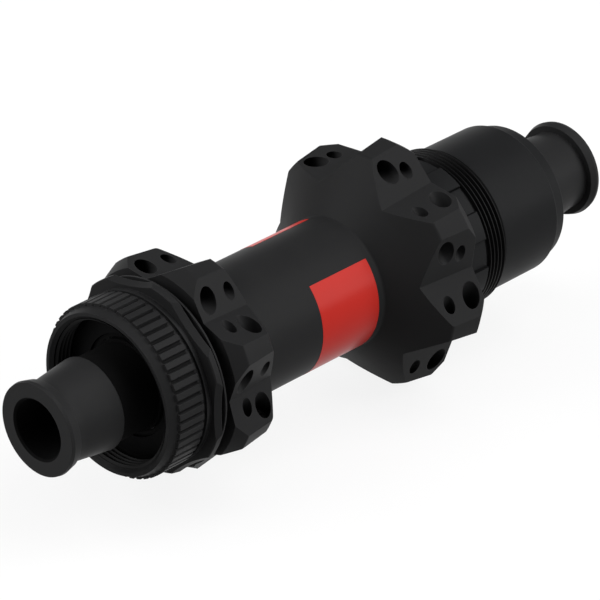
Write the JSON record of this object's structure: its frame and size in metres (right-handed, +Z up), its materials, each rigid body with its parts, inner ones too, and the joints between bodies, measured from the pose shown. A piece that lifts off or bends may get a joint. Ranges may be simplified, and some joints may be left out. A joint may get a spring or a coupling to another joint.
{
  "type": "bicycle rear hub",
  "caption": "Rear bicycle hub for straight-pull spokes: black lugged shell turning on a hollow axle, splined disc mount, ratchet freehub driver and flanged end caps.",
  "frame": {"origin": "on the axle's centre line, midway between the two faces that sit in the frame", "axes": "+Y along the axle to the brake side, -Y to the drive side, +Z up, +X the way it rides"},
  "size_m": [0.0506, 0.148, 0.0495],
  "materials": {
    "shell_black": "satin black anodised",
    "cap_black": "satin black anodised",
    "driver_black": "satin black anodised",
    "alloy": "turned",
    "bearing_steel": "ground",
    "ball_steel": "polished",
    "ratchet_steel": "hardened",
    "seal_rubber": "matt",
    "cage_plastic": "moulded"
  },
  "bodies": {
    "axle": {"axle_tube": "alloy", "end_cap_brake": "cap_black", "end_cap_drive": "cap_black", "axle_sleeve": "alloy", "freehub_spacer": "alloy", "brake_cap_o_ring": "seal_rubber", "drive_cap_o_ring": "seal_rubber", "brake_inner_ring": "bearing_steel", "drive_inner_ring": "bearing_steel", "inboard_inner_ring": "bearing_steel", "outboard_inner_ring": "bearing_steel"},
    "shell": {"hub_shell": "shell_black", "ratchet_ring": "ratchet_steel", "brake_seal": "seal_rubber", "freehub_seal": "seal_rubber", "brake_outer_ring": "bearing_steel", "brake_shields": "seal_rubber", "drive_outer_ring": "bearing_steel", "drive_shields": "seal_rubber"},
    "freehub": {"freehub_body": "driver_black", "freehub_end_seal": "seal_rubber", "ratchet_spring": "ratchet_steel", "inboard_outer_ring": "bearing_steel", "inboard_shields": "seal_rubber", "outboard_outer_ring": "bearing_steel", "outboard_shields": "seal_rubber"},
    "ratchet": {"sliding_ratchet": "ratchet_steel"},
    "brake_cage_set": {"brake_cage": "cage_plastic", "brake_balls": "ball_steel"},
    "drive_cage_set": {"drive_cage": "cage_plastic", "drive_balls": "ball_steel"},
    "inboard_cage_set": {"inboard_cage": "cage_plastic", "inboard_balls": "ball_steel"},
    "outboard_cage_set": {"outboard_cage": "cage_plastic", "outboard_balls": "ball_steel"}
  },
  "joints": [
    {"name": "shell_spin", "type": "hinge", "parent": "axle", "child": "shell", "pos_m": [0, 0, 0], "axis": [0, 1, 0], "continuous": true},
    {"name": "freehub_spin", "type": "hinge", "parent": "axle", "child": "freehub", "pos_m": [0, -0.04, 0], "axis": [0, 1, 0], "continuous": true},
    {"name": "ratchet_slide", "type": "slide", "parent": "freehub", "child": "ratchet", "axis": [0, 1, 0], "range_m": [0, 0.0011], "stiffness_N_per_m": 500, "springref_m": 0.004, "deforming": ["ratchet_spring"]},
    {"name": "brake_cage_spin", "type": "hinge", "parent": "axle", "child": "brake_cage_set", "pos_m": [0, 0.0466, 0], "axis": [0, 1, 0], "continuous": true},
    {"name": "drive_cage_spin", "type": "hinge", "parent": "axle", "child": "drive_cage_set", "pos_m": [0, -0.0117, 0], "axis": [0, 1, 0], "continuous": true},
    {"name": "inboard_cage_spin", "type": "hinge", "parent": "axle", "child": "inboard_cage_set", "pos_m": [0, -0.0313, 0], "axis": [0, 1, 0], "continuous": true},
    {"name": "outboard_cage_spin", "type": "hinge", "parent": "axle", "child": "outboard_cage_set", "pos_m": [0, -0.0525, 0], "axis": [0, 1, 0], "continuous": true}
  ],
  "couplings": [
    {"joint": "brake_cage_spin", "follows": "shell_spin", "ratio": 0.58942},
    {"joint": "drive_cage_spin", "follows": "shell_spin", "ratio": 0.58942},
    {"joint": "inboard_cage_spin", "follows": "freehub_spin", "ratio": 0.56933},
    {"joint": "outboard_cage_spin", "follows": "freehub_spin", "ratio": 0.56933}
  ]
}
